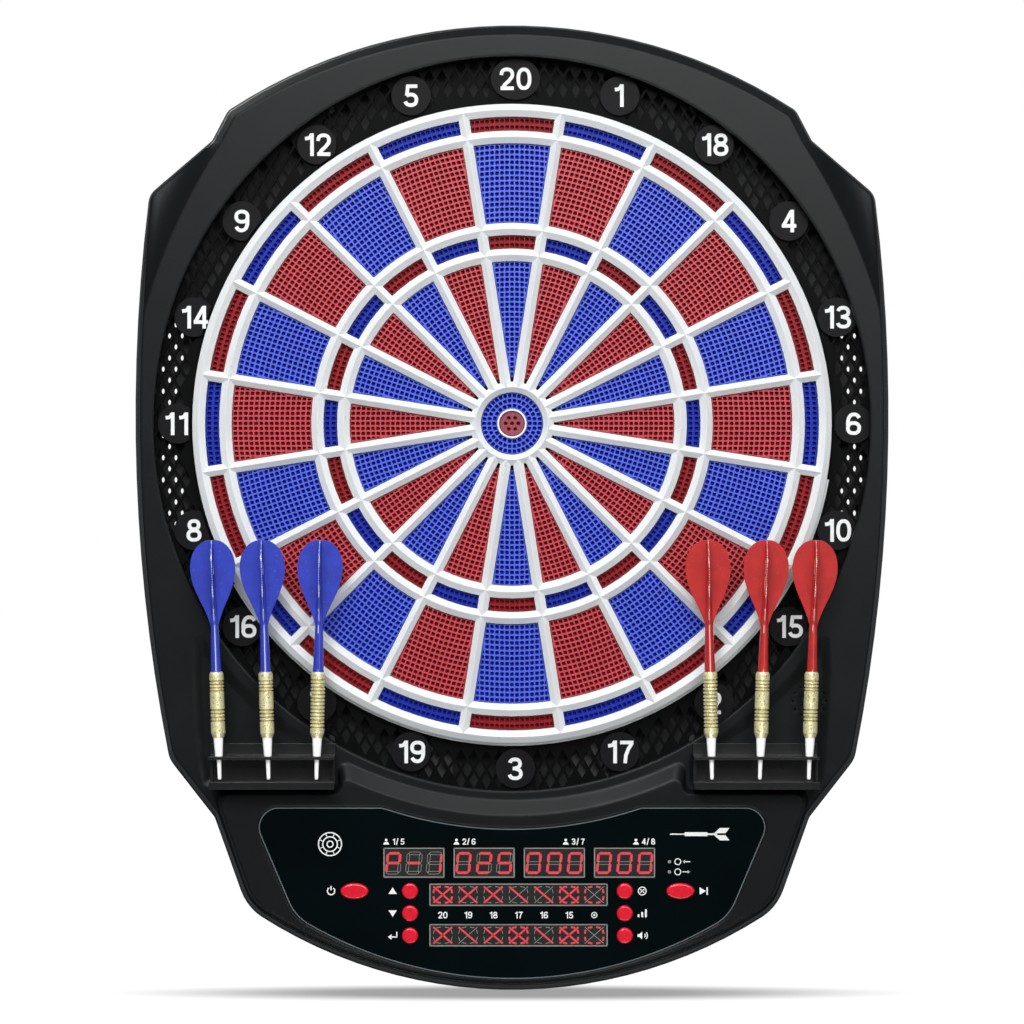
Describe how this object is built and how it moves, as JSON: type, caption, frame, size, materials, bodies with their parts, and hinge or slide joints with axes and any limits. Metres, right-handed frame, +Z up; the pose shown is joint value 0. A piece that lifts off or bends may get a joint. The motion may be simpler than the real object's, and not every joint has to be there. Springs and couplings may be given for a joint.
{
  "type": "electronic dartboard",
  "caption": "Wall-hung electronic dartboard: moulded web with pressed segments, lattice catch ring, score console with buttons, and two racks of soft-tip darts.",
  "frame": {"origin": "on the wall plane, straight behind the centre of the bull", "axes": "+Z up, +Y into the wall, +X to the player's right; the front faces -Y"},
  "size_m": [0.42, 0.0579, 0.5379],
  "materials": {
    "housing_black": "satin moulded",
    "cover_black": "fine matt texture",
    "lattice_black": "satin moulded",
    "disc_black": "matt with printed white numerals",
    "spider_white": "semi-gloss moulded",
    "segment_blue": "satin moulded, perforated",
    "segment_red": "satin moulded, perforated",
    "film_clear": "printed polyester film",
    "mat_rubber": "matt sheet rubber",
    "board_wood": "pressed fibreboard",
    "lens_dark": "polished",
    "display_grey": "satin face with red segments",
    "light_red": "tinted clear",
    "circuit_green": "solder mask",
    "chip_black": "matt epoxy",
    "switch_black": "moulded",
    "speaker_metal": "pressed steel and ferrite",
    "inlet_black": "moulded, with a steel pin",
    "lead_insulation": "soft insulation",
    "screw_steel": "zinc plated",
    "button_red": "gloss moulded",
    "rack_black": "semi-gloss moulded",
    "tip_white": "nylon",
    "barrel_brass": "knurled and ring grooved",
    "flight_blue": "moulded",
    "flight_red": "moulded"
  },
  "bodies": {
    "board": {"front_housing": "housing_black", "rear_cover": "cover_black", "catch_ring": "lattice_black", "number_discs": "disc_black", "spider": "spider_white", "bull_collar": "spider_white", "contact_membrane": "film_clear", "rubber_mat": "mat_rubber", "backing_board": "board_wood", "console_lens": "lens_dark", "score_displays": "display_grey", "row_displays": "display_grey", "indicator_lights": "light_red", "control_board": "circuit_green", "chips_and_connectors": "chip_black", "button_switches": "switch_black", "membrane_tails": "film_clear", "speaker": "speaker_metal", "power_inlet": "inlet_black", "internal_leads": "lead_insulation", "housing_screws": "screw_steel", "board_screws": "screw_steel", "left_dart_rack": "rack_black", "right_dart_rack": "rack_black"},
    "double_segments_blue": {"double_segments_blue": "segment_blue"},
    "double_segments_red": {"double_segments_red": "segment_red"},
    "outer_single_segments_blue": {"outer_single_segments_blue": "segment_blue"},
    "outer_single_segments_red": {"outer_single_segments_red": "segment_red"},
    "treble_segments_blue": {"treble_segments_blue": "segment_blue"},
    "treble_segments_red": {"treble_segments_red": "segment_red"},
    "inner_single_segments_blue": {"inner_single_segments_blue": "segment_blue"},
    "inner_single_segments_red": {"inner_single_segments_red": "segment_red"},
    "outer_bull": {"outer_bull": "segment_blue"},
    "inner_bull": {"inner_bull": "segment_red"},
    "power_button": {"power_button": "button_red"},
    "up_button": {"up_button": "button_red"},
    "down_button": {"down_button": "button_red"},
    "enter_button": {"enter_button": "button_red"},
    "miss_button": {"miss_button": "button_red"},
    "handicap_button": {"handicap_button": "button_red"},
    "sound_button": {"sound_button": "button_red"},
    "next_button": {"next_button": "button_red"},
    "blue_dart_1": {"blue_dart_1_tip": "tip_white", "blue_dart_1_barrel": "barrel_brass", "blue_dart_1_flight": "flight_blue"},
    "blue_dart_2": {"blue_dart_2_tip": "tip_white", "blue_dart_2_barrel": "barrel_brass", "blue_dart_2_flight": "flight_blue"},
    "blue_dart_3": {"blue_dart_3_tip": "tip_white", "blue_dart_3_barrel": "barrel_brass", "blue_dart_3_flight": "flight_blue"},
    "red_dart_1": {"red_dart_1_tip": "tip_white", "red_dart_1_barrel": "barrel_brass", "red_dart_1_flight": "flight_red"},
    "red_dart_2": {"red_dart_2_tip": "tip_white", "red_dart_2_barrel": "barrel_brass", "red_dart_2_flight": "flight_red"},
    "red_dart_3": {"red_dart_3_tip": "tip_white", "red_dart_3_barrel": "barrel_brass", "red_dart_3_flight": "flight_red"}
  },
  "joints": [
    {"name": "double_segments_blue_press", "type": "slide", "parent": "board", "child": "double_segments_blue", "axis": [0, 1, 0], "range_m": [0, 0.001], "stiffness_N_per_m": 4000},
    {"name": "double_segments_red_press", "type": "slide", "parent": "board", "child": "double_segments_red", "axis": [0, 1, 0], "range_m": [0, 0.001], "stiffness_N_per_m": 4000},
    {"name": "outer_single_segments_blue_press", "type": "slide", "parent": "board", "child": "outer_single_segments_blue", "axis": [0, 1, 0], "range_m": [0, 0.001], "stiffness_N_per_m": 4000},
    {"name": "outer_single_segments_red_press", "type": "slide", "parent": "board", "child": "outer_single_segments_red", "axis": [0, 1, 0], "range_m": [0, 0.001], "stiffness_N_per_m": 4000},
    {"name": "treble_segments_blue_press", "type": "slide", "parent": "board", "child": "treble_segments_blue", "axis": [0, 1, 0], "range_m": [0, 0.001], "stiffness_N_per_m": 4000},
    {"name": "treble_segments_red_press", "type": "slide", "parent": "board", "child": "treble_segments_red", "axis": [0, 1, 0], "range_m": [0, 0.001], "stiffness_N_per_m": 4000},
    {"name": "inner_single_segments_blue_press", "type": "slide", "parent": "board", "child": "inner_single_segments_blue", "axis": [0, 1, 0], "range_m": [0, 0.001], "stiffness_N_per_m": 4000},
    {"name": "inner_single_segments_red_press", "type": "slide", "parent": "board", "child": "inner_single_segments_red", "axis": [0, 1, 0], "range_m": [0, 0.001], "stiffness_N_per_m": 4000},
    {"name": "outer_bull_press", "type": "slide", "parent": "board", "child": "outer_bull", "axis": [0, 1, 0], "range_m": [0, 0.001], "stiffness_N_per_m": 800},
    {"name": "inner_bull_press", "type": "slide", "parent": "board", "child": "inner_bull", "axis": [0, 1, 0], "range_m": [0, 0.001], "stiffness_N_per_m": 500},
    {"name": "power_button_press", "type": "slide", "parent": "board", "child": "power_button", "axis": [0, 1, 0], "range_m": [0, 0.0012], "stiffness_N_per_m": 400},
    {"name": "up_button_press", "type": "slide", "parent": "board", "child": "up_button", "axis": [0, 1, 0], "range_m": [0, 0.0012], "stiffness_N_per_m": 400},
    {"name": "down_button_press", "type": "slide", "parent": "board", "child": "down_button", "axis": [0, 1, 0], "range_m": [0, 0.0012], "stiffness_N_per_m": 400},
    {"name": "enter_button_press", "type": "slide", "parent": "board", "child": "enter_button", "axis": [0, 1, 0], "range_m": [0, 0.0012], "stiffness_N_per_m": 400},
    {"name": "miss_button_press", "type": "slide", "parent": "board", "child": "miss_button", "axis": [0, 1, 0], "range_m": [0, 0.0012], "stiffness_N_per_m": 400},
    {"name": "handicap_button_press", "type": "slide", "parent": "board", "child": "handicap_button", "axis": [0, 1, 0], "range_m": [0, 0.0012], "stiffness_N_per_m": 400},
    {"name": "sound_button_press", "type": "slide", "parent": "board", "child": "sound_button", "axis": [0, 1, 0], "range_m": [0, 0.0012], "stiffness_N_per_m": 400},
    {"name": "next_button_press", "type": "slide", "parent": "board", "child": "next_button", "axis": [0, 1, 0], "range_m": [0, 0.0012], "stiffness_N_per_m": 400},
    {"name": "blue_dart_1_lift", "type": "slide", "parent": "board", "child": "blue_dart_1", "axis": [-0.0332, 0, 0.9995], "range_m": [0, 0.06]},
    {"name": "blue_dart_2_lift", "type": "slide", "parent": "board", "child": "blue_dart_2", "axis": [-0.0297, 0, 0.9996], "range_m": [0, 0.06]},
    {"name": "blue_dart_3_lift", "type": "slide", "parent": "board", "child": "blue_dart_3", "axis": [0.0175, 0, 0.9998], "range_m": [0, 0.06]},
    {"name": "red_dart_1_lift", "type": "slide", "parent": "board", "child": "red_dart_1", "axis": [-0.0192, 0, 0.9998], "range_m": [0, 0.06]},
    {"name": "red_dart_2_lift", "type": "slide", "parent": "board", "child": "red_dart_2", "axis": [0.0297, 0, 0.9996], "range_m": [0, 0.06]},
    {"name": "red_dart_3_lift", "type": "slide", "parent": "board", "child": "red_dart_3", "axis": [0.0297, 0, 0.9996], "range_m": [0, 0.06]}
  ]
}
